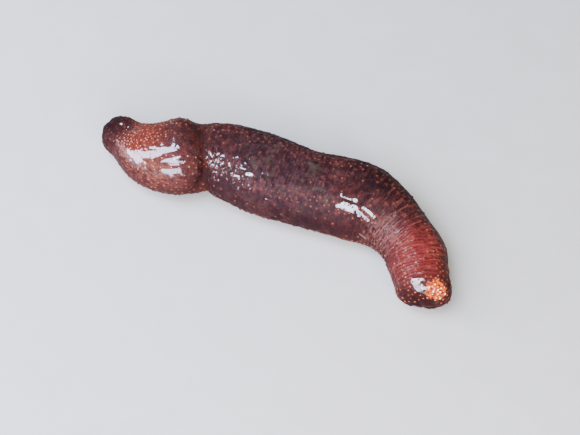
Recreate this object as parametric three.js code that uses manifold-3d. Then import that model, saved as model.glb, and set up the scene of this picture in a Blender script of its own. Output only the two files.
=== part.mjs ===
// A red sea cucumber lying on the floor in a loose S, at life size, with its feeding tentacles drawn in.
// Millimetres, +Z up, and the floor at z = 0. The body runs from its tail, at -X, to its mouth, facing -Y.
import * as THREE from "three";
import { mergeVertices } from "three/addons/utils/BufferGeometryUtils.js";
import Module from "manifold-3d";

// Driving dimensions
const BODY_LENGTH = 220; // along the middle line, from the tail's tip to the mouth
const TAIL_TIP = { x: -89.2, y: 53.6 }; // where the middle line starts, seen from above
const START_HEADING = -42; // degrees from +X, turning towards +Y
// The bends of the middle line: where each starts, its length, and how many degrees it turns to the left
const BENDS = [
  { from: 18, length: 43, turn: 51 },
  { from: 56, length: 21, turn: -32 },
  { from: 100, length: 36, turn: 8 },
  { from: 132, length: 58, turn: -46.5 },
  { from: 182, length: 18, turn: -20.5 },
];
// The body's girth: distance along the middle line, half its width, and its height off the floor
const GIRTHS = [
  { at: 0, halfWidth: 10.8, height: 20 },
  { at: 15, halfWidth: 11.4, height: 22 },
  { at: 31, halfWidth: 17.4, height: 30.5 },
  { at: 46, halfWidth: 20.2, height: 36.5 },
  { at: 55, halfWidth: 19.6, height: 35.5 },
  { at: 61, halfWidth: 17.8, height: 31 },
  { at: 66, halfWidth: 18.8, height: 30.5 },
  { at: 75, halfWidth: 21, height: 31 },
  { at: 92, halfWidth: 22.6, height: 31 },
  { at: 122, halfWidth: 21.4, height: 30.5 },
  { at: 150, halfWidth: 21.8, height: 31.5 },
  { at: 162, halfWidth: 18.6, height: 31 },
  { at: 176, halfWidth: 15.3, height: 29 },
  { at: 192, halfWidth: 15.7, height: 29 },
  { at: 206, halfWidth: 14.1, height: 27 },
  { at: 220, halfWidth: 16, height: 29 },
];
const SAG = 0.08; // share of its half height that the soft body flattens where it rests
const TAIL_CAP = 12; // length over which the tail rounds off
const MOUTH_CAP = 12.5; // length over which the mouth end rounds off
const CAP_BLUNTNESS = 2.2; // 2 is a round end, and more is blunter
const FULLNESS = 2.15; // 2 is an oval section, and more is fuller at its corners
const SLANT = { from: 205, share: 0.2 }; // the mouth end reaches ahead on its left, by a share of its width

// The openings, drawn in to a pit with folds round it, and how far each lies from the middle of its end
const MOUTH = { toRight: 3, below: 6.5, pitDepth: 3.2, pitRadius: 2.8, foldDepth: 0.9, foldRadius: 4.5 };
const VENT = { toRight: 0, below: 0, pitDepth: 1.8, pitRadius: 2.2, foldDepth: 0.5, foldRadius: 3.5 };
const PUCKER_FOLDS = 5;

// Tube feet stand in bands along the body, placed in degrees round it, from its top towards its right
const BANDS = [-105, -33, 39, 111];
const ROW_ANGLE = 5; // from a band's middle to each of its two rows
const FOOT_SPACING = 6.9; // along a row
const FOOT = { rootRadius: 1.05, tipRadius: 0.7, height: 0.75, sunk: 1.2 };
// Longer feet under the flanks stand on the floor with their suckers
const SOLE_BANDS = [-138, 138];
const SOLE_SPACING = 7.5;
const SOLE_FOOT = { discRadius: 1.25, neckRadius: 0.8, neckHeight: 0.7, sunk: 1.6 };
const FOOT_SIDES = 6;
const FOOT_SCATTER = { along: 1, angle: 2, size: 0.12 }; // millimetres, degrees, and a share of the size
const FEET_FROM = 9; // the first foot's distance from the tail's tip
const FEET_TO = BODY_LENGTH - 6.5;
const CUT_CLEARANCE = 1.8; // from a foot's middle to a cut through the body
const FOOT_CLEARANCE = 2.7; // between the middles of two feet
const SEED = 7;

// Named lengths of the body, each from its start to the next one's
const LENGTHS = [
  { name: "tail_end", from: 0, color: 0x73484b },
  { name: "hind_body", from: 26, color: 0x9b5f55 },
  { name: "waist", from: 61, color: 0x74575a },
  { name: "middle_body", from: 98, color: 0x735e60 },
  { name: "shoulder_bend", from: 142, color: 0x734a49 },
  { name: "fore_body", from: 178, color: 0x935755 },
  { name: "mouth_end", from: 205, color: 0xaa5a4b },
];
const GAP = 0.3; // between neighbouring lengths
const SIDES = 40; // faces round the body
const RING_SPACING = 4.2; // between rings of vertices along the body
const CAP_RINGS = 9; // rings over each rounded end
const ROUTE_STEP = 0.5; // between the middle line's points
const MERGE = 1e-4; // vertices closer than this are one

const { clamp, degToRad, lerp, seededRandom, smoothstep } = THREE.MathUtils;
const wasm = await Module();
wasm.setup();

// The middle line, seen from above
function headingAt(s) {
  const turns = BENDS.map(({ from, length, turn }) => turn * smoothstep(s, from, from + length));
  return degToRad(turns.reduce((sum, turn) => sum + turn, START_HEADING));
}

function middleLine() {
  const points = [{ x: TAIL_TIP.x, y: TAIL_TIP.y }];
  for (let s = ROUTE_STEP / 2; s < BODY_LENGTH; s += ROUTE_STEP) {
    const last = points.at(-1);
    const heading = headingAt(s);
    points.push({ x: last.x + ROUTE_STEP * Math.cos(heading), y: last.y + ROUTE_STEP * Math.sin(heading) });
  }
  return points;
}

const ROUTE = middleLine();

// The middle line's point at s, the way it heads and the way to its right
function frameAt(s) {
  const step = clamp(Math.floor(s / ROUTE_STEP), 0, ROUTE.length - 2);
  const share = s / ROUTE_STEP - step;
  const heading = headingAt(s);
  return {
    x: lerp(ROUTE[step].x, ROUTE[step + 1].x, share),
    y: lerp(ROUTE[step].y, ROUTE[step + 1].y, share),
    ahead: new THREE.Vector3(Math.cos(heading), Math.sin(heading), 0),
    right: new THREE.Vector3(Math.sin(heading), -Math.cos(heading), 0),
  };
}

// A size from the girths at s, on a smooth curve through them
function girthAt(s, key) {
  const i = clamp(GIRTHS.findIndex((girth) => girth.at > s) - 1, 0, GIRTHS.length - 2);
  const span = GIRTHS[i + 1].at - GIRTHS[i].at;
  const slopeAt = (j) => {
    const before = GIRTHS[Math.max(j - 1, 0)];
    const after = GIRTHS[Math.min(j + 1, GIRTHS.length - 1)];
    return (after[key] - before[key]) / (after.at - before.at);
  };
  const t = clamp((s - GIRTHS[i].at) / span, 0, 1);
  const start = GIRTHS[i][key] * (1 + 2 * t) * (1 - t) ** 2;
  const end = GIRTHS[i + 1][key] * t * t * (3 - 2 * t);
  return start + end + span * (slopeAt(i) * t * (1 - t) ** 2 - slopeAt(i + 1) * t * t * (1 - t));
}

// How far the body has rounded out from a tip, from 0 to 1
function capShare(distance, length) {
  const inside = clamp(1 - distance / length, 0, 1);
  return (1 - inside ** CAP_BLUNTNESS) ** (1 / CAP_BLUNTNESS);
}

// How deep an end is drawn in, at a place to the right of its middle and above it
function puckerDepth(opening, sideways, rise) {
  const reach = Math.hypot(sideways - opening.toRight, rise + opening.below);
  const angle = Math.atan2(sideways - opening.toRight, rise + opening.below);
  const pit = opening.pitDepth * Math.exp(-((reach / opening.pitRadius) ** 2));
  const nearFolds = reach / opening.foldRadius;
  const furrow = Math.max(0, Math.cos(PUCKER_FOLDS * angle)) ** 2;
  return pit + opening.foldDepth * furrow * nearFolds * Math.exp((1 - nearFolds ** 2) / 2);
}

// A point of the body: s along it, angle round it from its top towards its right, and share of the way out
function bodyPoint(s, angle, share = 1) {
  const frame = frameAt(s);
  const round = share * capShare(s, TAIL_CAP) * capShare(BODY_LENGTH - s, MOUTH_CAP);
  const halfHeight = girthAt(s, "height") / (2 - SAG);
  const bulge = (value) => Math.sign(value) * Math.abs(value) ** (2 / FULLNESS);
  const sideways = round * girthAt(s, "halfWidth") * bulge(Math.sin(angle));
  const rise = round * halfHeight * bulge(Math.cos(angle));
  const height = Math.max(halfHeight * (1 - SAG) + rise, 0);
  const point = new THREE.Vector3(frame.x, frame.y, height).addScaledVector(frame.right, sideways);
  if (s < TAIL_CAP) point.addScaledVector(frame.ahead, puckerDepth(VENT, sideways, rise));
  if (s > BODY_LENGTH - MOUTH_CAP) point.addScaledVector(frame.ahead, -puckerDepth(MOUTH, sideways, rise));
  return point.addScaledVector(frame.ahead, -SLANT.share * sideways * smoothstep(s, SLANT.from, BODY_LENGTH));
}

// The way out of the skin at a point of the body
function outwardAt(s, angle) {
  const step = 0.1;
  const turn = 0.01;
  const along = bodyPoint(s + step, angle).sub(bodyPoint(s - step, angle));
  const around = bodyPoint(s, angle + turn).sub(bodyPoint(s, angle - turn));
  return around.cross(along).normalize();
}

// Distances along the body at which a length has its rings
function ringsOf(from, to) {
  const tailCap = from === 0 ? TAIL_CAP : 0;
  const mouthCap = to === BODY_LENGTH ? MOUTH_CAP : 0;
  const steps = Math.round((to - from - tailCap - mouthCap) / RING_SPACING);
  const rings = [];
  for (let i = 0; i <= steps; i += 1) rings.push(lerp(from + tailCap, to - mouthCap, i / steps));
  for (let i = 1; i < CAP_RINGS; i += 1) {
    const share = 1 - Math.cos((i / CAP_RINGS) * (Math.PI / 2));
    if (tailCap) rings.push(tailCap * share);
    if (mouthCap) rings.push(BODY_LENGTH - mouthCap * share);
  }
  return rings.sort((a, b) => a - b);
}

// One length of the body: a lathe's rings, laid out along the middle line and swollen to the body's sections
function lengthGeometry(from, to) {
  const rings = ringsOf(from, to).map((s) => new THREE.Vector2(1, s));
  const profile = [new THREE.Vector2(0, from), ...rings, new THREE.Vector2(0, to)];
  const geometry = new THREE.LatheGeometry(profile, SIDES);
  const position = geometry.getAttribute("position");
  for (let i = 0; i < position.count; i += 1) {
    const s = position.getY(i);
    const share = Math.hypot(position.getX(i), position.getZ(i));
    const angle = Math.atan2(position.getX(i), position.getZ(i));
    const point = bodyPoint(s, angle, share);
    const ahead = frameAt(s).ahead;
    if (s === from && from > 0) point.addScaledVector(ahead, GAP / 2);
    if (s === to && to < BODY_LENGTH) point.addScaledVector(ahead, -GAP / 2);
    position.setXYZ(i, point.x, point.y, point.z);
  }
  return geometry;
}

function solidOf(geometry) {
  geometry.deleteAttribute("normal");
  geometry.deleteAttribute("uv");
  const merged = mergeVertices(geometry, MERGE);
  const vertProperties = merged.getAttribute("position").array;
  const triVerts = new Uint32Array(merged.index.array);
  return new wasm.Manifold(new wasm.Mesh({ numProp: 3, vertProperties, triVerts }));
}

function geometryOf(solid) {
  const { vertProperties, triVerts } = solid.getMesh();
  const geometry = new THREE.BufferGeometry();
  geometry.setAttribute("position", new THREE.BufferAttribute(vertProperties, 3));
  geometry.setIndex(new THREE.BufferAttribute(triVerts, 1));
  geometry.computeVertexNormals();
  return geometry;
}

// A short foot that stands out from the skin
function skinFoot(root, outward, size) {
  const length = FOOT.sunk + FOOT.height * size;
  const tipRadius = FOOT.tipRadius * size;
  const geometry = new THREE.CylinderGeometry(tipRadius, FOOT.rootRadius * size, length, FOOT_SIDES);
  geometry.translate(0, length / 2 - FOOT.sunk, 0);
  geometry.applyQuaternion(new THREE.Quaternion().setFromUnitVectors(new THREE.Vector3(0, 1, 0), outward));
  geometry.translate(root.x, root.y, root.z);
  return solidOf(geometry);
}

// A longer foot that reaches from the skin straight down to its sucker on the floor
function soleFoot(root, outward, size) {
  const neckRadius = SOLE_FOOT.neckRadius * size;
  const top = root.z + SOLE_FOOT.sunk;
  const profile = [
    new THREE.Vector2(0, 0),
    new THREE.Vector2(SOLE_FOOT.discRadius * size, 0),
    new THREE.Vector2(neckRadius, SOLE_FOOT.neckHeight * size),
    new THREE.Vector2(neckRadius, top),
    new THREE.Vector2(0, top),
  ];
  const geometry = new THREE.LatheGeometry(profile, FOOT_SIDES);
  geometry.rotateX(Math.PI / 2);
  geometry.translate(root.x, root.y, 0);
  return solidOf(geometry);
}

// How far a point lies from the nearest cut through the body
function distanceToCut(point) {
  const distances = LENGTHS.slice(1).map(({ from }) => {
    const frame = frameAt(from);
    return Math.abs((point.x - frame.x) * frame.ahead.x + (point.y - frame.y) * frame.ahead.y);
  });
  return Math.min(...distances);
}

// Adds a row of feet that keep clear of the cuts and of the feet before them
function addRow(feet, degrees, first, spacing, makeFoot) {
  const scatter = (most) => most * (2 * seededRandom() - 1);
  for (let place = first; place < FEET_TO; place += spacing) {
    const s = place + scatter(FOOT_SCATTER.along);
    const angle = degToRad(degrees + scatter(FOOT_SCATTER.angle));
    const size = 1 + scatter(FOOT_SCATTER.size);
    const root = bodyPoint(s, angle);
    const crowded = feet.some((foot) => foot.root.distanceTo(root) < FOOT_CLEARANCE);
    if (crowded || distanceToCut(root) < CUT_CLEARANCE) continue;
    feet.push({ s, root, solid: makeFoot(root, outwardAt(s, angle), size) });
  }
}

function allFeet() {
  const feet = [];
  seededRandom(SEED);
  for (const band of BANDS) {
    addRow(feet, band - ROW_ANGLE, FEET_FROM, FOOT_SPACING, skinFoot);
    addRow(feet, band + ROW_ANGLE, FEET_FROM + FOOT_SPACING / 2, FOOT_SPACING, skinFoot);
  }
  for (const band of SOLE_BANDS) addRow(feet, band, FEET_FROM, SOLE_SPACING, soleFoot);
  return feet;
}

// A length of the body fused with its own feet, as its largest closed surface
function lengthWithFeet(from, to, feet) {
  const own = feet.filter(({ s }) => s > from && s < to).map(({ solid }) => solid);
  const pieces = wasm.Manifold.union([solidOf(lengthGeometry(from, to)), ...own]).decompose();
  return pieces.reduce((largest, piece) => (piece.volume() > largest.volume() ? piece : largest));
}

const seaCucumber = new THREE.Group();
const feet = allFeet();
LENGTHS.forEach(({ name, from, color }, i) => {
  const to = LENGTHS[i + 1]?.from ?? BODY_LENGTH;
  const wetSkin = new THREE.MeshStandardMaterial({ color, roughness: 0.3, metalness: 0 });
  const mesh = new THREE.Mesh(geometryOf(lengthWithFeet(from, to, feet)), wetSkin);
  mesh.name = name;
  seaCucumber.add(mesh);
});

export default seaCucumber;
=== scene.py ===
"""A red sea cucumber at life size, lying in a loose S: one wet skin over the solids, and its tube feet."""

import math
import random

import bmesh
import bpy
import numpy as np
from mathutils import Matrix, Vector, kdtree, noise


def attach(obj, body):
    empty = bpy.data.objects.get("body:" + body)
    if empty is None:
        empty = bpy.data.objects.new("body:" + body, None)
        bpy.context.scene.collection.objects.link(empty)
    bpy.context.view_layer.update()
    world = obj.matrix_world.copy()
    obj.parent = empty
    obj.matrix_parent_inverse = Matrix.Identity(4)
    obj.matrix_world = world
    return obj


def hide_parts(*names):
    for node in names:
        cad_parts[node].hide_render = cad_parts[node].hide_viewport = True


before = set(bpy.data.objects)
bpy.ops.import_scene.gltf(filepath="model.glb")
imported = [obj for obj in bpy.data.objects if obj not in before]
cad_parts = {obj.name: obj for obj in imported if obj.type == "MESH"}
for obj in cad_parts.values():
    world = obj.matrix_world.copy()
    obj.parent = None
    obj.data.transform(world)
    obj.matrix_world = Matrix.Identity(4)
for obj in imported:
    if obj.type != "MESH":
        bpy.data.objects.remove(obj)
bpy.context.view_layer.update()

MM = 0.001

# Camera: the photo looks down on the animal from the side that its mouth turns to
PHOTO_WIDTH = 580
MM_PER_PIXEL = 0.52
CAMERA_DISTANCE = 800
CAMERA_ELEVATION = 60
CAMERA_TARGET = (9.4, -6.8, 14)
SENSOR_WIDTH = 36
NEAREST_SEEN = 10

# Body, in millimetres and degrees, as its solids have it
BODY_LENGTH = 220
TAIL_TIP = (-89.2, 53.6)
START_HEADING = -42
BENDS = [  # where each one starts along the body, how long it is, and its turn to the left
    (18, 43, 51),
    (56, 21, -32),
    (100, 36, 8),
    (132, 58, -46.5),
    (182, 18, -20.5),
]
GIRTHS = np.array(  # place along the body, half its width, and its height
    [
        (0, 10.8, 20),
        (15, 11.4, 22),
        (31, 17.4, 30.5),
        (46, 20.2, 36.5),
        (55, 19.6, 35.5),
        (61, 17.8, 31),
        (66, 18.8, 30.5),
        (75, 21, 31),
        (92, 22.6, 31),
        (122, 21.4, 30.5),
        (150, 21.8, 31.5),
        (162, 18.6, 31),
        (176, 15.3, 29),
        (192, 15.7, 29),
        (206, 14.1, 27),
        (220, 16, 29),
    ]
)
SAG = 0.08  # share of its half height by which the body is cut flat where it rests
TAIL_CAP = 12  # length of the rounded tail
MOUTH_CAP = 12.5
CAP_BLUNTNESS = 2.2  # 2 is a half round, and more is blunter
FULLNESS = 2.15  # of the cross-section: 2 is an ellipse, and more is fuller
SLANT_FROM = 205  # from here on the mouth end reaches ahead on its left
SLANT = 0.2  # by so much for each millimetre to the side
ROUTE_STEP = 0.5

# Mouth and vent: where each lies from the middle line, and the depth and radius of its pit and of its folds
MOUTH = {"to_right": 3, "below": 6.5, "pit": (3.2, 2.8), "folds": (0.9, 4.5)}
VENT = {"to_right": 0, "below": 0, "pit": (1.8, 2.2), "folds": (0.5, 3.5)}
PUCKER_FOLDS = 5

# Skin mesh
RINGS = 490
SIDES = 192
TAIL_RINGS = 36  # of them over the rounded tail
MOUTH_RINGS = 46
CLOSER_FROM = 152  # the rings lie closer from here on
RINGS_BEFORE = 0.55  # share of the rings between the round ends that lie before that place

# Skin relief, in millimetres: height, wave lengths along, across and up, and shift of each noise
LUMPS = [(0.5, (16, 14, 14), 0), (0.2, (5, 4.5, 4.5), 2.1)]
LUMPS_ALONG = [(5, 1), (9, 0.4), (20, 0.45), (52, 0.45), (62, 1.2)]  # place along the body, and share there
WARTS = (0.34, (2.2, 2.6, 2.6), 3.9)
WARTS_ALONG = [(55, 0.15), (66, 1), (130, 1), (145, 0.15)]
FURROW_DEPTH = 0.2
BAND_HEIGHT = 0.3
FOLD_WANDER = (0.9, (30, 6, 6), 5.3)
POOL_SMOOTHING = 0.85  # share of the warts and furrows that a pool hides
REST_HEIGHT = 2  # below this height the skin smooths out towards the floor
POLE_REACH = 0.6  # within this distance of both poles it is smooth too

# Fine furrows round the body, which give way to even rings on its fore part
FINE_FURROWS = [(1, (1.5, 9, 9), 7.7), (0.6, (1.1, 5, 5), 1.9)]
FURROW_WIDTH = 0.2
RINGED_FROM, RINGED_OVER = 160, 16
RING_SPACING = 1.6
RING_WIDTH = 0.24
RING_WANDER = (1.5, (14, 10, 10), 4.4)
RING_BREAKS = (1.3, (5, 9, 9), 8.1)
FURROWS_ALONG = [
    (0, 0.3),
    (12, 0.3),
    (30, 0.15),
    (55, 0.2),
    (62, 0.8),
    (100, 0.6),
    (145, 0.6),
    (165, 1),
    (200, 1),
    (220, 0.7),
]

# Folds: place along the body where it crosses its middle angle, how far it runs on along the body with each
# degree round it, depth, half width, middle angle, and how far it spreads round
FOLDS = [
    (57.4, -0.13, 1.3, 2.0, 78, 34),
    (61.4, -0.02, 0.5, 2.4, 25, 45),
    (53.8, -0.12, 0.3, 0.8, 96, 22),
    (64.4, -0.03, 0.5, 1.0, 92, 30),
    (68.4, 0.02, 0.35, 1.1, 70, 40),
    (72.5, 0.0, 0.25, 1.0, 95, 30),
    (168.0, 0.45, 1.0, 1.5, 72, 28),
    (163.5, 0.42, 0.35, 0.9, 60, 26),
    (175.0, 0.28, 0.55, 1.0, 86, 26),
    (179.5, 0.15, 0.6, 0.9, 98, 28),
    (183.0, 0.05, 0.9, 1.1, 98, 34),
    (187.0, -0.08, 0.6, 1.0, 100, 32),
    (191.5, -0.1, 0.4, 0.9, 98, 28),
    (199.5, 0.0, 0.9, 1.6, -66, 44),
    (206.5, 0.0, 0.22, 0.8, 0, 150),
    (209.8, 0.0, 0.18, 0.7, -40, 100),
]

# Long pools in the wet film on the skin, and places that it has drained from: each runs from one place (along
# the body, degrees round it) to another, and has a half width
POOLS = [
    (139.7, 37, 143.5, 34, 1.0),
    (143.5, 34, 150.5, 34.5, 2.3),
    (150.5, 35.5, 156, 40, 1.5),
    (156, 40, 162.5, 44.5, 0.9),
    (140.6, 20, 149.5, 21.5, 0.95),
    (153, 26.5, 158.7, 30, 0.75),
    (158.7, 30, 164.6, 34.5, 0.8),
    (161, 80, 166, 86, 0.7),
    (45.3, 41, 49, 38.5, 1.5),
    (44.8, 58, 49.3, 53.5, 1.4),
    (10.8, -3, 12.8, -1, 0.8),
    (16.0, -6, 16.8, -3, 0.6),
    (213, 24, 214.5, 2, 2.2),
    (215.5, 22, 216.8, -8, 2.3),
    (86, 38, 87.5, 37, 0.5),
    (91, 29, 93.5, 28, 0.85),
    (86.5, 24, 88, 23.5, 0.5),
    (95, 49, 96.2, 49, 0.45),
    (104, 57, 106, 56, 0.45),
]
DRAINED = [
    (38.5, 45, 44, 31, 1.5),
    (44, 31, 53, 22, 1.8),
    (42, 49, 52, 46, 1.2),
    (50.5, 20, 54, 60, 1.0),
    (53.8, 41, 54.8, 52, 1.3),
    (51, 2, 52.5, 16, 1.2),
    (43.5, -6, 49.5, -18, 2.2),
]
RIM_FALL = 0.7  # so that a streak has fallen to a half at its rim

# The patch beside the mouth with its painted glow, orange as if light shone through thin skin: its middle on
# the straightened body, and its reach
PAINTED_GLOW = ((216.3, -4.2, 9), (7, 8.5, 10))

# Tube feet
SEED = 11
BANDS = [-105, -33, 39, 111]  # degrees round the body from its top towards its right
BAND_ROWS = (-8, 0, 8)  # degrees from a band's middle
BAND_SPREAD = 11  # degrees over which the raised skin along a band falls away
SOLE_ROWS = [(144, 0), (151, 1.7), (158, 0.6)]  # degrees on either side, and how much further on each starts
ROWS = {  # spacing before and past a place, and how far out of line a foot stands: along, and in degrees
    "band": (2.5, 3.2, 0.7, 3),
    "sole": (3.6, 3.6, 0.6, 2.5),
}
CLOSE_ROWS_END = 36
KINDS = {  # a foot's least distance from those before it, and its least and greatest size
    "band": (1.75, 0.72, 1.12),
    "crowd": (1.5, 0.61, 0.95),
    "mouth": (2.3, 0.72, 1.12),
    "scattered": (3.1, 0.72, 1.12),
    "sole": (2.0, 0.85, 1.15),
    "bead": (1.5, 0.5, 1.45),
    "flank": (2.4, 0.72, 1.12),
}
FEET_FROM, FEET_TO = 2, BODY_LENGTH - 0.6
LOWEST_FOOT = 3.2  # feet that don't reach the floor stand at least so high on the body
LOWEST_SOLE_FOOT = 0.4
FOOT_SIDES = 8
FOOT_HEIGHTS = (0.7, 1.3)  # shares of a foot's size
FOOT_LEAN = 0.22
MOUND_HEIGHT, MOUND_WIDTH, MOUND_REACH = 0.24, 1.0, 2.2  # of the skin under a foot

# Layout for baking, where the skin laid out flat is 1 long and 1 high
LAYOUT_MARGIN = 0.02
PATCH = 0.003  # of the layout that one foot takes


def smooth_step(t):
    t = np.clip(t, 0, 1)
    return t * t * (3 - 2 * t)


def value_along(s, stops):
    """A value at places along the body, which changes evenly from each of the given ones to the next."""
    places, values = zip(*stops)
    return np.interp(s, places, values)


def degrees_past(angle, middle):
    """How many degrees an angle lies past a middle one, from -180 to 180."""
    return (np.degrees(angle) - middle + 180) % 360 - 180


def place_camera():
    data = bpy.data.cameras.new("photo_camera")
    data.sensor_width = SENSOR_WIDTH
    data.lens = CAMERA_DISTANCE / MM_PER_PIXEL * SENSOR_WIDTH / PHOTO_WIDTH
    data.clip_start = NEAREST_SEEN * MM
    camera = bpy.data.objects.new("photo_camera", data)
    tilt = math.radians(CAMERA_ELEVATION)
    back = Vector((0, -math.cos(tilt), math.sin(tilt)))
    camera.location = (Vector(CAMERA_TARGET) + CAMERA_DISTANCE * back) * MM
    camera.rotation_euler = (math.radians(90 - CAMERA_ELEVATION), 0, 0)
    bpy.context.collection.objects.link(camera)
    bpy.context.scene.camera = camera


# The body's form, all in millimetres, for arrays of places along it and angles round it


def heading_at(s):
    turned = sum(turn * smooth_step((s - start) / length) for start, length, turn in BENDS)
    return np.radians(START_HEADING + turned)


def middle_line():
    s = np.arange(0, BODY_LENGTH + ROUTE_STEP, ROUTE_STEP)
    heading = heading_at(s[:-1] + ROUTE_STEP / 2)
    x = TAIL_TIP[0] + np.concatenate([[0], np.cumsum(ROUTE_STEP * np.cos(heading))])
    y = TAIL_TIP[1] + np.concatenate([[0], np.cumsum(ROUTE_STEP * np.sin(heading))])
    return s, x, y


ROUTE = middle_line()


def girth_at(s, column):
    """A smooth curve through one column of the girths."""
    place, size = GIRTHS[:, 0], GIRTHS[:, column]
    i = np.clip(np.searchsorted(place, s, side="right") - 1, 0, len(place) - 2)
    before = np.maximum(np.arange(len(place)) - 1, 0)
    after = np.minimum(np.arange(len(place)) + 1, len(place) - 1)
    slope = (size[after] - size[before]) / (place[after] - place[before])
    span = place[i + 1] - place[i]
    t = np.clip((s - place[i]) / span, 0, 1)
    start = size[i] * (1 + 2 * t) * (1 - t) ** 2
    end = size[i + 1] * t * t * (3 - 2 * t)
    return start + end + span * (slope[i] * t * (1 - t) ** 2 - slope[i + 1] * t * t * (1 - t))


def cap_share(distance, length):
    """How much of its full girth the body has at a distance from the end of a rounded cap."""
    inside = np.clip(1 - distance / length, 0, 1)
    return (1 - inside**CAP_BLUNTNESS) ** (1 / CAP_BLUNTNESS)


def fuller(value):
    """A sine or cosine, brought nearer to 1 or -1 by the cross-section's fullness."""
    return np.sign(value) * np.abs(value) ** (2 / FULLNESS)


def pucker_depth(opening, sideways, rise):
    """How deep the skin is drawn in at the mouth or the vent: a pit, and folds that run out from it."""
    across, up = sideways - opening["to_right"], rise + opening["below"]
    reach, angle = np.hypot(across, up), np.arctan2(across, up)
    deepest, radius = opening["pit"]
    pit = deepest * np.exp(-((reach / radius) ** 2))
    deepest, radius = opening["folds"]
    furrow = np.maximum(0, np.cos(PUCKER_FOLDS * angle)) ** 2
    near_folds = reach / radius
    return pit + deepest * furrow * near_folds * np.exp((1 - near_folds**2) / 2)


def section_place(s, angle):
    """How far the smooth body reaches to the right of its middle line and above it, and the line's height."""
    roundness = cap_share(s, TAIL_CAP) * cap_share(BODY_LENGTH - s, MOUTH_CAP)
    half_height = girth_at(s, 2) / (2 - SAG)
    sideways = roundness * girth_at(s, 1) * fuller(np.sin(angle))
    rise = roundness * half_height * fuller(np.cos(angle))
    return sideways, rise, half_height * (1 - SAG)


def body_points(s, angle):
    """Places on the smooth body, which follows the solids."""
    sideways, rise, axis_height = section_place(s, angle)
    heading = heading_at(s)
    route_s, route_x, route_y = ROUTE
    drawn_in = np.where(s < TAIL_CAP, pucker_depth(VENT, sideways, rise), 0)
    drawn_in = drawn_in - np.where(s > BODY_LENGTH - MOUTH_CAP, pucker_depth(MOUTH, sideways, rise), 0)
    ahead = drawn_in - SLANT * sideways * smooth_step((s - SLANT_FROM) / (BODY_LENGTH - SLANT_FROM))
    x = np.interp(s, route_s, route_x) + sideways * np.sin(heading) + ahead * np.cos(heading)
    y = np.interp(s, route_s, route_y) - sideways * np.cos(heading) + ahead * np.sin(heading)
    return np.stack([x, y, np.maximum(axis_height + rise, 0)], -1)


def outward_at(s, angle):
    """Which way is straight out of the smooth body."""
    step, turn = 0.1, 0.01
    s = np.clip(s, step, BODY_LENGTH - step)
    along_body = body_points(s + step, angle) - body_points(s - step, angle)
    around = body_points(s, angle + turn) - body_points(s, angle - turn)
    outward = np.cross(around, along_body)
    return outward / np.maximum(np.linalg.norm(outward, axis=-1, keepdims=True), 1e-9)


def laid_straight(s, angle):
    """The same place on the body as if it lay straight along X, round which patterns run with no seam."""
    sideways, rise, _ = section_place(s, angle)
    return np.stack([s, sideways, rise], -1)


def noise_of(points, height, wave_lengths, shift):
    scaled = points / np.array(wave_lengths) + shift
    flat = scaled.reshape(-1, 3)
    values = np.array([noise.noise(Vector(p)) for p in flat.tolist()])
    return height * values.reshape(scaled.shape[:-1])


def band_share(angle):
    """1 in the middle of a band of feet, falling to 0 between the bands."""
    nearest = np.min([np.abs(degrees_past(angle, band)) for band in BANDS], axis=0)
    return np.exp(-((nearest / BAND_SPREAD) ** 2))


def fold_depth(s, angle, straight):
    wander = noise_of(straight, *FOLD_WANDER)
    depth = np.zeros_like(s)
    for place, tilt, deepest, half_width, middle, spread in FOLDS:
        past = degrees_past(angle, middle)
        round_share = np.exp(-((past / spread) ** 2))
        away = s - place - tilt * past + wander
        depth += deepest * round_share * np.exp(-((away / half_width) ** 2))
    return depth


def furrows(s, straight):
    """0 on the open skin, rising to 1 along the furrows and rings."""
    fine = 0
    for depth, wave_lengths, shift in FINE_FURROWS:
        crossing = np.abs(noise_of(straight, 1, wave_lengths, shift))
        fine = fine + depth * np.clip(1 - crossing / FURROW_WIDTH, 0, 1)
    ringed = smooth_step((s - RINGED_FROM) / RINGED_OVER)
    turns = (s + noise_of(straight, *RING_WANDER)) / RING_SPACING
    broken = np.clip(0.9 + noise_of(straight, *RING_BREAKS), 0.1, 1.2)
    rings = np.clip(1 - np.abs(turns % 1 - 0.5) / RING_WIDTH, 0, 1) * broken
    deepest = np.minimum(fine * (1 - 0.65 * ringed) + 1.2 * rings * ringed, 1.2)
    return deepest * value_along(s, FURROWS_ALONG)


def streak_share(streaks, s, angle):
    """1 in the middle of a streak, falling to 0 past its rim."""
    share = np.zeros_like(s)
    mm_per_degree = math.pi / 180 * girth_at(s, 1)
    for from_s, from_angle, to_s, to_angle, half_width in streaks:
        away_s = s - from_s
        away_round = degrees_past(angle, from_angle) * mm_per_degree
        length_s, length_round = to_s - from_s, (to_angle - from_angle) * mm_per_degree
        t = (away_s * length_s + away_round * length_round) / (length_s**2 + length_round**2)
        t = np.clip(t, 0, 1)
        distance = np.hypot(away_s - t * length_s, away_round - t * length_round)
        share = np.maximum(share, np.exp(-RIM_FALL * (distance / half_width) ** 2))
    return share


def relief(s, angle):
    """How far the skin stands out from the smooth body."""
    straight = laid_straight(s, angle)
    lumps = sum(noise_of(straight, *lump) for lump in LUMPS) * value_along(s, LUMPS_ALONG)
    warts = noise_of(straight, *WARTS) * value_along(s, WARTS_ALONG)
    resting = smooth_step(body_points(s, angle)[..., 2] / REST_HEIGHT)
    near_pole = smooth_step(np.minimum(s, BODY_LENGTH - s) / POLE_REACH)
    open_skin = 1 - POOL_SMOOTHING * streak_share(POOLS, s, angle)
    fine = warts - FURROW_DEPTH * furrows(s, straight)
    raised = lumps + open_skin * fine + BAND_HEIGHT * band_share(angle)
    return (raised - fold_depth(s, angle, straight)) * resting * near_pole


def raised_from(points, height, s, angle):
    """The points moved outwards by a height, and none of them below the floor."""
    raised = points + height[..., None] * outward_at(s, angle)
    raised[..., 2] = np.maximum(raised[..., 2], 0)
    return raised


def skin_points(s, angle):
    return raised_from(body_points(s, angle), relief(s, angle), s, angle)


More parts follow.
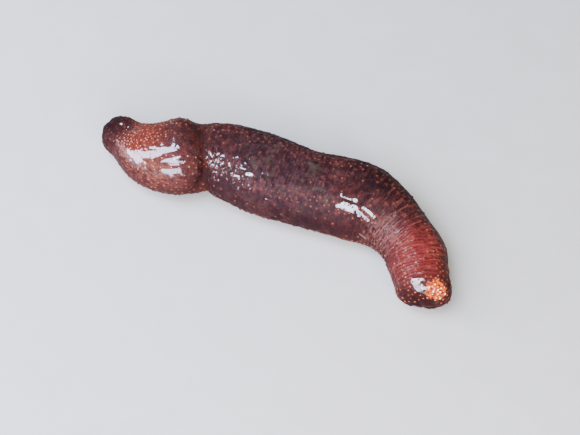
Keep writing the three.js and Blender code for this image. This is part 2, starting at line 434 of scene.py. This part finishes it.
def ring_places():
    """Where the mesh's rings lie along the body, closer over the round ends and the ringed fore part."""
    tail = TAIL_CAP * (1 - np.cos(np.linspace(0, math.pi / 2, TAIL_RINGS + 1)))
    mouth = BODY_LENGTH - MOUTH_CAP * (1 - np.cos(np.linspace(math.pi / 2, 0, MOUTH_RINGS + 1)))
    evenly = np.linspace(0, 1, RINGS - TAIL_RINGS - MOUTH_RINGS + 1)
    between = np.interp(evenly, [0, RINGS_BEFORE, 1], [TAIL_CAP, CLOSER_FROM, BODY_LENGTH - MOUTH_CAP])
    return np.concatenate([tail, between[1:-1], mouth])


# Tube feet: each place is how far along the body it lies, its degrees round it, and its kind


def foot_row(draw, kind, degrees, start, end):
    """A row of feet along the body, each a little out of line."""
    close, apart, loose_along, loose_degrees = ROWS[kind]
    places = []
    s = start
    while s < end:
        out_along = draw.uniform(-loose_along, loose_along)
        out_degrees = draw.uniform(-loose_degrees, loose_degrees)
        places.append((s + out_along, degrees + out_degrees, kind))
        s += close if s < CLOSE_ROWS_END else apart
    return places


def foot_crowd(draw, kind, count, along_body, degrees):
    """Feet crowded round one place, whose middle and spread are given along the body and in degrees."""
    return [(draw.gauss(*along_body), draw.gauss(*degrees), kind) for _ in range(count)]


def foot_places(draw):
    """Rows in bands, crowds by the tail and the mouth, scattered feet, and the rows under the belly."""
    places = []
    for band in BANDS:
        for k, row in enumerate(BAND_ROWS):
            places += foot_row(draw, "band", band + row, 5 + k, BODY_LENGTH - 2.5)
    places += foot_crowd(draw, "crowd", 420, (29, 8), (12, 30))
    places += [(draw.gauss(BODY_LENGTH, 9), draw.uniform(-180, 180), "mouth") for _ in range(400)]
    places += [(draw.uniform(6, BODY_LENGTH - 3), draw.uniform(-125, 130), "scattered") for _ in range(560)]
    for side in (-1, 1):
        for row, shift in SOLE_ROWS:
            places += foot_row(draw, "sole", side * row, 9 + shift, BODY_LENGTH - 7)
    places += foot_crowd(draw, "bead", 260, (PAINTED_GLOW[0][0], 1.7), (-24, 15))
    places += foot_crowd(draw, "flank", 110, (42, 8), (86, 13))
    return places


def chosen_feet():
    """The feet that find room, since each keeps its distance from those before it."""
    places = foot_places(random.Random(SEED))
    s = np.array([BODY_LENGTH - abs(BODY_LENGTH - place[0]) for place in places])
    s = np.clip(s, FEET_FROM, FEET_TO)
    angle = np.radians([place[1] for place in places])
    points = skin_points(s, angle)
    outward = outward_at(s, angle)
    feet = []
    roots = np.zeros((0, 3))
    for i, (_, _, kind) in enumerate(places):
        clearance = KINDS[kind][0]
        if len(roots) and np.min(np.linalg.norm(roots - points[i], axis=1)) < clearance:
            continue
        if kind != "sole" and points[i][2] < LOWEST_FOOT:
            continue
        roots = np.vstack([roots, points[i]])
        feet.append({"s": s[i], "angle": angle[i], "root": points[i], "outward": outward[i], "kind": kind})
    return feet


def short_foot():
    """A foot drawn in to a low knob with a small sucker, pointing up from the skin at z = 0."""
    profile = [(0.8, -0.3), (0.46, 0.1), (0.44, 0.28), (0.34, 0.38)]
    return turned_foot(profile, 0.33)


def long_foot():
    """A foot that hangs from z = 0 to its flat sucker at z = -1, to be stretched down to the floor."""
    profile = [(0.95, 0.5), (0.62, 0.0), (0.5, -0.6), (0.56, -0.86), (0.95, -1.0)]
    return turned_foot(profile, -1.0)


def turned_foot(profile, end_height):
    """A foot turned from its radius at some heights, in millimetres, and closed at its end."""
    foot = bmesh.new()
    radius, height = profile[0]
    made = bmesh.ops.create_circle(foot, segments=FOOT_SIDES, radius=radius)
    bmesh.ops.translate(foot, verts=made["verts"], vec=(0, 0, height))
    rim = list(foot.edges)
    for radius, height in profile[1:]:
        extruded = bmesh.ops.extrude_edge_only(foot, edges=rim)["geom"]
        ring = [e for e in extruded if isinstance(e, bmesh.types.BMVert)]
        rim = [e for e in extruded if isinstance(e, bmesh.types.BMEdge) and all(v in ring for v in e.verts)]
        old = math.hypot(ring[0].co.x, ring[0].co.y)
        bmesh.ops.scale(foot, verts=ring, vec=(radius / old, radius / old, 1))
        bmesh.ops.translate(foot, verts=ring, vec=(0, 0, height - ring[0].co.z))
    cap = bmesh.ops.extrude_edge_only(foot, edges=rim)["geom"]
    ring = [e for e in cap if isinstance(e, bmesh.types.BMVert)]
    for v in ring:
        v.co = (0, 0, end_height)
    bmesh.ops.remove_doubles(foot, verts=ring, dist=1e-5)
    bmesh.ops.recalc_face_normals(foot, faces=foot.faces)
    return foot


def foot_layers(bm):
    """What a foot's mesh carries: place on the straight body, nearness to its tip, shade and bake patch."""
    values = bm.verts.layers
    on_body = values.float_vector.new("laid_straight")
    return on_body, values.float.new("tip"), values.float.new("shade"), bm.loops.layers.uv.new("OFBake")


def layout_place(s, angle):
    """Where a place on the body lies on the skin laid out flat: along it, and round it from the belly."""
    room = 1 - 2 * LAYOUT_MARGIN
    return LAYOUT_MARGIN + room * s / BODY_LENGTH, LAYOUT_MARGIN + room * ((angle / math.tau + 0.5) % 1)


def add_foot(bm, template, place, foot, tint):
    """Copies the template to its place, with its colour values and its patch of the baking layout."""
    copy = template.copy()
    heights = [v.co.z for v in copy.verts]
    low, high = min(heights), max(heights)
    straight = laid_straight(np.array(foot["s"]), np.array(foot["angle"])) * MM
    across, up = layout_place(foot["s"], foot["angle"])
    on_body, tip, shade, layout = foot_layers(copy)
    hanging = foot["kind"] == "sole"
    for v in copy.verts:
        share = (v.co.z - low) / (high - low)
        v[on_body] = Vector(straight)
        v[tip] = 1 - share if hanging else share
        v[shade] = tint
    for face in copy.faces:
        for loop in face.loops:
            loop[layout].uv = (across + PATCH / 2 * loop.vert.co.x, up + PATCH / 2 * loop.vert.co.y)
    bmesh.ops.transform(copy, matrix=place, verts=copy.verts)
    part = bpy.data.meshes.new("one_foot")
    copy.to_mesh(part)
    copy.free()
    bm.from_mesh(part)
    bpy.data.meshes.remove(part)


def finished_piece(name, bm, material):
    mesh = bpy.data.meshes.new(name)
    bm.to_mesh(mesh)
    bm.free()
    for polygon in mesh.polygons:
        polygon.use_smooth = True
    piece = bpy.data.objects.new(name, mesh)
    bpy.context.collection.objects.link(piece)
    piece.data.materials.append(material)
    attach(piece, "root")
    return piece


def make_tube_feet(feet, material):
    draw = random.Random(SEED + 1)
    short, long = short_foot(), long_foot()
    bm = bmesh.new()
    foot_layers(bm)
    for foot in feet:
        root = Vector(foot["root"])
        size = draw.uniform(*KINDS[foot["kind"]][1:])
        if foot["kind"] == "sole":
            template = long
            root.z = max(root.z, LOWEST_SOLE_FOOT)
            stretch = Matrix.Diagonal((size, size, root.z, 1))
            lean = Matrix.Identity(4)
        else:
            template = short
            stretch = Matrix.Diagonal((size, size, size * draw.uniform(*FOOT_HEIGHTS), 1))
            tipped = Vector(foot["outward"]) + FOOT_LEAN * Vector([draw.uniform(-1, 1) for _ in range(3)])
            lean = tipped.to_track_quat("Z", "Y").to_matrix().to_4x4()
        turn = Matrix.Rotation(draw.uniform(0, math.tau), 4, "Z")
        place = Matrix.Scale(MM, 4) @ Matrix.Translation(root) @ lean @ turn @ stretch
        add_foot(bm, template, place, foot, draw.random())
    return finished_piece("tube_feet", bm, material)


def mound_share(points, feet):
    """1 at the root of each foot that doesn't hang under the belly, falling to 0 round it."""
    tree = kdtree.KDTree(len(points))
    for i, point in enumerate(points):
        tree.insert(point, i)
    tree.balance()
    share = np.zeros(len(points))
    for foot in feet:
        if foot["kind"] == "sole":
            continue
        for _, i, distance in tree.find_range(foot["root"], MOUND_REACH):
            share[i] = max(share[i], math.exp(-((distance / MOUND_WIDTH) ** 2)))
    return share


def make_skin(feet, material):
    bm = bmesh.new()
    bmesh.ops.create_grid(bm, x_segments=RINGS, y_segments=SIDES, size=1)
    rows = np.array([round((v.co.x + 1) / 2 * RINGS) for v in bm.verts])
    columns = np.array([round((v.co.y + 1) / 2 * SIDES) for v in bm.verts])
    s = ring_places()[rows]
    angle = -math.pi + 2 * math.pi * (columns % SIDES) / SIDES
    points = skin_points(s, angle)
    straight = laid_straight(s, angle)
    pools, drained = streak_share(POOLS, s, angle), streak_share(DRAINED, s, angle)
    mounds = mound_share(points, feet) * (1 - pools)
    points = raised_from(points, MOUND_HEIGHT * mounds, s, angle)
    values = {
        "mound": mounds,
        "hollow": np.clip(fold_depth(s, angle, straight), 0, 2),
        "furrow": furrows(s, straight),
        "pool": pools * (1 - drained) - drained,
    }
    on_body = bm.verts.layers.float_vector.new("laid_straight")
    layers = {name: bm.verts.layers.float.new(name) for name in values}
    for i, v in enumerate(bm.verts):
        v.co = points[i] * MM
        v[on_body] = straight[i] * MM
        for name, layer in layers.items():
            v[layer] = values[name][i]
    bmesh.ops.remove_doubles(bm, verts=bm.verts, dist=1e-7)
    bmesh.ops.recalc_face_normals(bm, faces=bm.faces)
    return finished_piece("wet_skin", bm, material)


# Colours, on the screen's 0 to 255 scale
DEEP_RED, WARM_RED, DARK_BLOTCH = (38, 19, 18), (53, 23, 21), (27, 13, 14)
# painted glow beside the mouth, orange as if light shone through thin skin
GLOW_PAINT_RED, GLOW_PAINT_ORANGE = (106, 16, 0), (184, 74, 0)
MOUND_BUFF = (104, 56, 38)
RIB_PINK = (122, 66, 56)
SPOT_PINK = (94, 54, 50)
DUST_BUFF, DUST_SHADOW = (124, 66, 46), (42, 14, 15)
SPECK_BUFF = (126, 68, 48)
MOTTLE_DARK = (15, 6, 8)
FRECKLE_DARK = (24, 10, 11)
# painted shade in the furrows and rings, and in the hollows of the folds
FURROW_PAINTED_SHADE = (28, 11, 12)
HOLLOW_PAINTED_SHADE = (24, 8, 9)
THREAD_GREY = (116, 80, 72)
STAIN_OLIVE = (52, 48, 37)
FOOT_TAN, FOOT_CREAM = (86, 40, 28), (124, 68, 44)
# painted glow and painted glints on the beads beside the mouth: orange, and nearly white where they glint
BEAD_GLOW_ORANGE, BEAD_GLINT_CREAM = (194, 84, 0), (255, 224, 136)
FLOOR_GREY, FLOOR_PALE = (141, 138, 130), (150, 147, 139)

# Tints over parts of the straightened body: middle (along it, to its right, up), reach, strength, and colour
SKIN_TINTS = [
    ((102, 0, 8), (48, 40, 40), 0.65, (33, 23, 26)),
    ((69, -9, 11), (13, 15, 12), 0.7, (50, 24, 24)),
    # painted shadow: the top of the left side at the bend darkened
    ((156, -9, 15), (28, 18, 15), 0.9, (14, 7, 9)),
    ((198, 1, 9), (27, 22, 22), 0.85, (88, 22, 19)),
    ((30, 4, 13), (21, 18, 14), 0.85, (76, 20, 8)),
    # painted sheen: the low right side of the bulge lightened
    ((46, 15, 6), (14, 14, 14), 0.6, (76, 42, 38)),
    ((39, 13.5, 10), (12, 8, 8), 0.4, (92, 56, 38)),
    ((0, 0, 2), (23, 24, 24), 0.95, (20, 7, 8)),
    ((220, 0, 2), (14, 26, 26), 0.9, (26, 8, 9)),
]
SHADE_TINTS = [  # both ends and the lower right flank, over all markings
    ((4, 1, 7), (20, 18, 17), 0.9, (20, 6, 7)),
    ((219, 6, -2), (11, 13, 15), 0.9, (27, 8, 9)),
    ((134, 18, 3), (46, 14, 13), 0.65, (26, 12, 13)),
    ((82, 18, 3), (26, 14, 14), 0.45, (30, 15, 17)),
    ((55, 15, 5), (8, 10, 12), 0.7, (34, 14, 14)),
]
FOOT_TINTS = [
    ((104, 0, 8), (66, 44, 44), 0.85, (55, 29, 26)),
    ((166, -6, 12), (36, 26, 26), 0.8, (62, 27, 22)),
    ((30, 5, 12), (20, 18, 14), 0.7, (170, 60, 20)),
    ((0, 0, 2), (30, 24, 24), 0.95, (36, 15, 16)),
    ((219, 0, 0), (15, 24, 24), 0.9, (132, 64, 28)),
]
FOOT_SHADE_TINTS = [((4, 1, 7), (20, 18, 17), 0.7, (27, 9, 10))]

# Markings and wet film on the straightened body: place along it, and value there
PALE_ALONG = [(55, 1.0), (66, 0.9), (148, 0.8), (168, 1.0)]
RIBS_ALONG = [(55, 0.04), (62, 0.09), (152, 0.12), (176, 0.38), (204, 0.4), (214, 0.2)]
MOTTLE_ALONG = [(58, 0.2), (68, 1.0), (150, 1.0), (166, 0.2)]
SMALL_DROPS_ALONG = [(54, 0.0), (60, 1.0)]
GLINTS_ALONG = [(160, 0.0), (172, 0.2), (208, 0.26), (213, 0.0)]
WET_ALONG = [
    (13, 0.2),
    (20, 0.8),
    (46, 0.8),
    (51, 0.5),
    (57, 0.5),
    (64, 0.42),
    (90, 0.37),
    (104, 0.24),
    (136, 0.16),
    (206, 0.14),
    (214, 0.24),
]

# Parts of the straightened body: middle, and reach
DUSTY = ((40, 12, 6), (22, 16, 15))
ELBOW = ((174, 13, 8), (18, 14, 16))
STAINED = ((112, 4, 12), (46, 34, 26))
WAIST_TOP = ((60, -3, 14), (8, 14, 9))

TORN = {"detail": 4.0, "roughness": 0.65}  # a cloud whose blotches have ragged edges
WET_FILM = {"Coat Roughness": 0.06, "Coat IOR": 1.8, "Specular IOR Level": 0.02}
SOFT_FLESH = {"Subsurface Weight": 0.12, "Subsurface Radius": (1.0, 0.3, 0.2), "Subsurface Scale": 0.002}


# Materials: their nodes


def srgb(red, green, blue):
    """A colour on the screen's 0 to 255 scale, as the shader's own values."""
    shares = (red / 255, green / 255, blue / 255)
    linear = [c / 12.92 if c <= 0.04045 else ((c + 0.055) / 1.055) ** 2.4 for c in shares]
    return (*linear, 1)


def add_node(tree, kind, inputs=None, **settings):
    """A node with its settings, and its inputs by name or number: a socket is linked, any other value set."""
    node = tree.nodes.new(kind)
    for name, value in settings.items():
        setattr(node, name, value)
    for name, value in (inputs or {}).items():
        if isinstance(value, bpy.types.NodeSocket):
            tree.links.new(value, node.inputs[name])
        else:
            node.inputs[name].default_value = value
    return node


def math_of(tree, operation, a, b, clamp=False):
    return add_node(tree, "ShaderNodeMath", {0: a, 1: b}, operation=operation, use_clamp=clamp).outputs[0]


def times(tree, *factors):
    product = factors[0]
    for factor in factors[1:]:
        product = math_of(tree, "MULTIPLY", product, factor)
    return product


def mixed(tree, share, first, second):
    """A colour between two, each of them a socket or a colour on the screen's scale."""
    node = add_node(tree, "ShaderNodeMix", data_type="RGBA")
    for name, value in (("Factor", share), ("A", first), ("B", second)):
        socket = next(i for i in node.inputs if i.name == name and i.enabled)
        if isinstance(value, bpy.types.NodeSocket):
            tree.links.new(value, socket)
        else:
            socket.default_value = srgb(*value)
    return next(o for o in node.outputs if o.enabled)


def ramp_of(tree, value, low, high, to_low=0.0, to_high=1.0):
    inputs = {"Value": value, "From Min": low, "From Max": high, "To Min": to_low, "To Max": to_high}
    return add_node(tree, "ShaderNodeMapRange", inputs, interpolation_type="SMOOTHSTEP").outputs[0]


def mesh_value(tree, name):
    return add_node(tree, "ShaderNodeAttribute", attribute_name=name).outputs["Fac"]


def body_place(tree):
    return add_node(tree, "ShaderNodeAttribute", attribute_name="laid_straight").outputs["Vector"]


def bumped(tree, height, millimetres, **inputs):
    """The surface's direction, bent as if a height of 1 stood out by so many millimetres."""
    inputs = {"Height": height, "Distance": millimetres * MM} | inputs
    return add_node(tree, "ShaderNodeBump", inputs).outputs[0]


def cloudy(tree, place, millimetres, detail=3.0, roughness=0.55, shift=(0, 0, 0)):
    """Noise with blotches so many millimetres long, and as wide and high unless all three are given."""
    lengths = millimetres if isinstance(millimetres, tuple) else (millimetres,) * 3
    scale = tuple(1 / (MM * length) for length in lengths)
    laid = add_node(tree, "ShaderNodeMapping", {"Vector": place, "Scale": scale, "Location": shift})
    inputs = {"Vector": laid.outputs[0], "Scale": 1.0, "Detail": detail, "Roughness": roughness}
    return add_node(tree, "ShaderNodeTexNoise", inputs).outputs[0]


def blotches(tree, place, millimetres, low, high, **cloud):
    """A cloud's blotches alone: 0 where it is thinner than low, and 1 where it is thicker than high."""
    return ramp_of(tree, cloudy(tree, place, millimetres, **cloud), low, high)


def zone(tree, place, middle, reach):
    """1 at a place on the straightened body, falling to 0 at its reach along, across and up."""
    centre = tuple(c * MM for c in middle)
    away = add_node(tree, "ShaderNodeVectorMath", {0: place, 1: centre}, operation="SUBTRACT").outputs[0]
    scale = tuple(1 / (r * MM) for r in reach)
    scaled = add_node(tree, "ShaderNodeVectorMath", {0: away, 1: scale}, operation="MULTIPLY").outputs[0]
    distance = add_node(tree, "ShaderNodeVectorMath", {0: scaled}, operation="LENGTH").outputs["Value"]
    return ramp_of(tree, distance, 0.15, 1.0, 1.0, 0.0)


def along(tree, place, stops):
    """A value that changes smoothly along the body, from each of the given places to the next."""
    s = add_node(tree, "ShaderNodeSeparateXYZ", {0: place}).outputs["X"]
    total = stops[0][1]
    for (start, before), (end, after) in zip(stops, stops[1:]):
        step = ramp_of(tree, s, start * MM, end * MM, 0.0, after - before)
        total = math_of(tree, "ADD", total, step)
    return total


def overlaid(tree, colour, tint, *shares):
    """The colour with a tint laid over it, by the product of the shares."""
    return mixed(tree, times(tree, *shares), colour, tint)


def tinted(tree, colour, place, tints):
    """The colour with soft-edged tints laid over parts of the body, one after another."""
    for middle, reach, strength, tint in tints:
        colour = overlaid(tree, colour, tint, zone(tree, place, middle, reach), strength)
    return colour


def start_material(name):
    material = bpy.data.materials.new(name)
    material.use_nodes = True
    tree = material.node_tree
    tree.nodes.clear()
    return material, tree


def finish_material(tree, inputs):
    shader = add_node(tree, "ShaderNodeBsdfPrincipled", inputs)
    add_node(tree, "ShaderNodeOutputMaterial", {"Surface": shader.outputs[0]})


# Materials: the animal's skin and feet, and the floor


def skin_colour(tree, place):
    """The red skin's colour, shared by the body and the roots of its feet, with a painted shadow and a
    painted sheen among its tints, and a painted glow beside the mouth.
    """
    colour = mixed(tree, blotches(tree, place, 16, 0.35, 0.65), DEEP_RED, WARM_RED)
    colour = overlaid(tree, colour, DARK_BLOTCH, blotches(tree, place, 5, 0.45, 0.7, shift=(3, 1, 2)))
    colour = tinted(tree, colour, place, SKIN_TINTS)
    patchy = blotches(tree, place, 1.6, 0.36, 0.62, detail=2.0, shift=(6, 2, 9))
    # painted glow: orange, broken in patches, over the patch beside the mouth
    glow_paint = mixed(tree, patchy, GLOW_PAINT_RED, GLOW_PAINT_ORANGE)
    broken = math_of(tree, "ADD", zone(tree, place, *PAINTED_GLOW), times(tree, patchy, 0.25))
    return mixed(tree, ramp_of(tree, broken, 0.4, 0.66), colour, glow_paint)


def web_of_threads(tree, place):
    """A net of threads stretched round the body, bent about so that no thread runs straight."""
    inputs = {"Vector": place, "Scale": 1 / (6 * MM), "Detail": 2.0}
    bend = add_node(tree, "ShaderNodeTexNoise", inputs).outputs["Color"]
    scale = (1 / (1.7 * MM), 1 / (4 * MM), 1 / (4 * MM))
    laid = add_node(tree, "ShaderNodeMapping", {"Vector": place, "Scale": scale}).outputs[0]
    inputs = {0: bend, 1: (2, 2, 2), 2: laid}
    warped = add_node(tree, "ShaderNodeVectorMath", inputs, operation="MULTIPLY_ADD").outputs[0]
    inputs = {"Vector": warped, "Scale": 1.0}
    web = add_node(tree, "ShaderNodeTexVoronoi", inputs, feature="DISTANCE_TO_EDGE")
    return ramp_of(tree, web.outputs["Distance"], 0.02, 0.12, 1.0, 0.0)


def marked_skin(tree, place, lines, speck, hollow):
    """The skin's colour with its markings laid over it one after another, with painted shade in its furrows
    and hollows, and its shaded parts last.
    """
    colour = skin_colour(tree, place)
    pale = along(tree, place, PALE_ALONG)
    spots = blotches(tree, place, 2.2, 0.55, 0.72, shift=(1, 7, 4))
    dusty = zone(tree, place, *DUSTY)
    dust = blotches(tree, place, 1.5, 0.48, 0.6, shift=(2, 2, 5), **TORN)
    shadows = blotches(tree, place, 2.6, 0.48, 0.6, shift=(7, 1, 5), **TORN)
    mottle = blotches(tree, place, (2.8, 3.4, 3.4), 0.44, 0.58, shift=(4, 6, 1), **TORN)
    freckles = blotches(tree, place, 1.3, 0.5, 0.68, detail=2.0, shift=(9, 3, 3))
    stain = blotches(tree, place, 9, 0.52, 0.72, detail=5.0, shift=(7, 5, 1))
    markings = [
        (MOUND_BUFF, mesh_value(tree, "mound"), pale, 0.25),
        (RIB_PINK, ramp_of(tree, lines, 0.5, 0.68), along(tree, place, RIBS_ALONG)),
        (SPOT_PINK, spots, pale, 0.3),
        (DUST_BUFF, dust, dusty, 0.5),
        (DUST_SHADOW, shadows, dusty, 0.8),
        (SPECK_BUFF, speck, pale, 0.2),
        (MOTTLE_DARK, mottle, along(tree, place, MOTTLE_ALONG), 0.62),
        (FRECKLE_DARK, freckles, 0.5),
        # painted shade: darker along the furrows and rings, and in the hollows of the folds
        (FURROW_PAINTED_SHADE, mesh_value(tree, "furrow"), 0.45),
        (HOLLOW_PAINTED_SHADE, ramp_of(tree, hollow, 0.1, 1.2), 0.5),
        (THREAD_GREY, web_of_threads(tree, place), zone(tree, place, *ELBOW), 0.25),
        (STAIN_OLIVE, stain, zone(tree, place, *STAINED), 0.45),
    ]
    for tint, *shares in markings:
        colour = overlaid(tree, colour, tint, *shares)
    return tinted(tree, colour, place, SHADE_TINTS)


def wetness(tree, place):
    """1 where the skin is wet: broken to drops past the waist, and nearly dry on the fore part."""
    drops = cloudy(tree, place, 2.2, shift=(5, 2, 8))
    finer = math_of(tree, "SUBTRACT", cloudy(tree, place, 1.5, shift=(2, 7, 5)), drops)
    drops = math_of(tree, "ADD", drops, times(tree, along(tree, place, SMALL_DROPS_ALONG), finer))
    dry = math_of(tree, "SUBTRACT", drops, along(tree, place, WET_ALONG))
    edge = add_node(tree, "ShaderNodeLayerWeight", {"Blend": 0.5}).outputs["Facing"]
    faces = add_node(tree, "ShaderNodeNewGeometry").outputs["Normal"]
    upward = add_node(tree, "ShaderNodeSeparateXYZ", {0: faces}).outputs["Z"]
    sides = add_node(tree, "ShaderNodeSeparateXYZ", {0: place}).outputs
    wet = times(
        tree,
        ramp_of(tree, dry, -0.02, 0.025, 1.0, 0.01),
        ramp_of(tree, edge, 0.45, 0.9, 1.0, 0.15),
        ramp_of(tree, upward, 0.4, 0.56, 0.06, 1.0),
        ramp_of(tree, sides["Z"], 5 * MM, 12 * MM, 0.1, 1.0),
        ramp_of(tree, sides["Y"], -5 * MM, 3 * MM, 0.06, 1.0),
    )
    return math_of(tree, "SUBTRACT", wet, zone(tree, place, *WAIST_TOP), clamp=True)


def skin_film(tree, place, hollow):
    """The wet film's share: less in hollows and drained places, more in pools and on the rings."""
    pool = mesh_value(tree, "pool")
    rim = times(tree, cloudy(tree, place, 1.2, shift=(4, 4, 4)), 0.3)
    drained = ramp_of(tree, math_of(tree, "SUBTRACT", pool, rim), -0.75, -0.6, 1.0, 0.0)
    film = wetness(tree, place)
    for dry in (ramp_of(tree, hollow, 0.1, 0.7), drained):
        film = math_of(tree, "SUBTRACT", film, dry, clamp=True)
    pooled = ramp_of(tree, math_of(tree, "ADD", pool, rim), 0.6, 0.68)
    glints = blotches(tree, place, (0.6, 1.8, 1.8), 0.56, 0.64, detail=2.0, shift=(3, 9, 2))
    glints = times(tree, glints, along(tree, place, GLINTS_ALONG))
    for wet in (pooled, glints, times(tree, zone(tree, place, *PAINTED_GLOW), 0.15)):
        film = math_of(tree, "MAXIMUM", film, wet)
    return film


def wet_skin_material():
    material, tree = start_material("wet_red_skin")
    place = body_place(tree)
    hollow = mesh_value(tree, "hollow")
    lines = cloudy(tree, place, (1.1, 14, 14), roughness=0.6)
    fine = cloudy(tree, place, (0.5, 2.2, 2.2), roughness=0.6, shift=(2, 4, 6))
    ripple = cloudy(tree, place, 2.4, detail=2.0, shift=(8, 8, 1))
    grains = add_node(tree, "ShaderNodeTexVoronoi", {"Vector": place, "Scale": 1 / (0.9 * MM)})
    speck = ramp_of(tree, grains.outputs["Distance"], 0.12, 0.34, 1.0, 0.0)
    normal = bumped(tree, lines, 0.25, Strength=1.0)
    normal = bumped(tree, fine, 0.1, Normal=normal)
    look = {
        "Base Color": marked_skin(tree, place, lines, speck, hollow),
        "Roughness": ramp_of(tree, cloudy(tree, place, 3), 0.3, 0.7, 0.42, 0.6),
        "Normal": bumped(tree, speck, 0.05, Normal=normal),
        "Coat Weight": skin_film(tree, place, hollow),
        "Coat Normal": bumped(tree, ripple, 0.1, Strength=0.5),
    }
    finish_material(tree, look | WET_FILM | SOFT_FLESH)
    return material


def tube_foot_material():
    material, tree = start_material("pale_tube_feet")
    place = body_place(tree)
    painted_glow_share = zone(tree, place, *PAINTED_GLOW)
    shade = mesh_value(tree, "shade")
    tips = tinted(tree, mixed(tree, shade, FOOT_TAN, FOOT_CREAM), place, FOOT_TINTS)
    # painted glow and painted glints: the beads beside the mouth orange, the palest nearly white
    bead_glow_and_glints = mixed(tree, ramp_of(tree, shade, 0.4, 1.0), BEAD_GLOW_ORANGE, BEAD_GLINT_CREAM)
    tips = mixed(tree, ramp_of(tree, painted_glow_share, 0.3, 0.6), tips, bead_glow_and_glints)
    near_tip = ramp_of(tree, mesh_value(tree, "tip"), 0.3, 0.85)
    colour = mixed(tree, near_tip, skin_colour(tree, place), tips)
    look = {
        "Base Color": tinted(tree, colour, place, FOOT_SHADE_TINTS),
        "Roughness": 0.45,
        "Normal": bumped(tree, cloudy(tree, place, 0.6), 0.04),
        "Coat Weight": math_of(tree, "MAXIMUM", wetness(tree, place), times(tree, painted_glow_share, 0.8)),
    }
    finish_material(tree, look | WET_FILM | SOFT_FLESH)
    return material


def floor_material():
    material, tree = start_material("pale_floor")
    place = add_node(tree, "ShaderNodeTexCoord").outputs["Object"]
    grain = add_node(tree, "ShaderNodeTexNoise", {"Vector": place, "Scale": 60.0, "Detail": 6.0}).outputs[0]
    finish_material(tree, {"Base Color": mixed(tree, grain, FLOOR_GREY, FLOOR_PALE), "Roughness": 0.75})
    return material


# Studio, in metres
FLOOR_REACH = 2.5
ROOM_COLOUR, ROOM_STRENGTH = (0.86, 0.92, 1.0, 1), 0.2
PANELS = {  # direction from the animal, distance, width, depth, watts, and colour
    "left_sky": ((-0.67, 0.08, 0.74), 0.9, 0.42, 0.84, 28, (0.69, 0.71, 1.0)),
    "left_low": ((-0.97, -0.04, 0.2), 0.9, 0.62, 0.3, 15.7, (0.69, 0.71, 1.0)),
    "front_sky": ((-0.36, -0.56, 0.745), 1.0, 0.86, 0.36, 24.8, (0.67, 0.71, 1.0)),
    "strip_sky": ((-0.22, -0.18, 0.96), 1.0, 0.46, 0.56, 23, (0.74, 0.86, 1.0)),
    "low_sky": ((-0.26, -0.91, 0.34), 0.8, 0.54, 0.48, 15.7, (0.73, 0.75, 1.0)),
    "end_sky": ((0.08, -0.83, 0.55), 1.0, 0.36, 0.3, 7.9, (0.73, 0.75, 1.0)),
    "warm_spark": ((0.45, -0.78, 0.45), 1.0, 0.17, 0.17, 13, (1.0, 0.84, 0.6)),
    "back_spark": ((-0.34, 0.83, 0.42), 1.0, 0.13, 0.42, 4, (0.86, 0.88, 1.0)),
}


def lay_floor():
    bm = bmesh.new()
    bmesh.ops.create_grid(bm, x_segments=1, y_segments=1, size=FLOOR_REACH)
    mesh = bpy.data.meshes.new("floor")
    bm.to_mesh(mesh)
    bm.free()
    floor = bpy.data.objects.new("floor", mesh)
    bpy.context.collection.objects.link(floor)
    floor.data.materials.append(floor_material())


def hang_panel(name, direction, distance, width, depth, watts, colour):
    data = bpy.data.lights.new(name, "AREA")
    data.shape = "RECTANGLE"
    data.size, data.size_y = width, depth
    data.energy = watts
    data.color = colour
    light = bpy.data.objects.new(name, data)
    towards = Vector(direction).normalized()
    light.location = Vector(CAMERA_TARGET) * MM + distance * towards
    light.rotation_mode = "QUATERNION"
    light.rotation_quaternion = towards.to_track_quat("Z", "Y")
    bpy.context.collection.objects.link(light)


def light_studio():
    world = bpy.data.worlds.new("soft_room")
    bpy.context.scene.world = world
    world.use_nodes = True
    background = world.node_tree.nodes["Background"]
    background.inputs["Color"].default_value = ROOM_COLOUR
    background.inputs["Strength"].default_value = ROOM_STRENGTH
    for name, panel in PANELS.items():
        hang_panel(name, *panel)


place_camera()
lay_floor()
light_studio()
all_feet = chosen_feet()
skin = make_skin(all_feet, wet_skin_material())
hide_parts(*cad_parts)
tube_feet = make_tube_feet(all_feet, tube_foot_material())
print("feet", len(all_feet), "faces", len(skin.data.polygons), len(tube_feet.data.polygons))
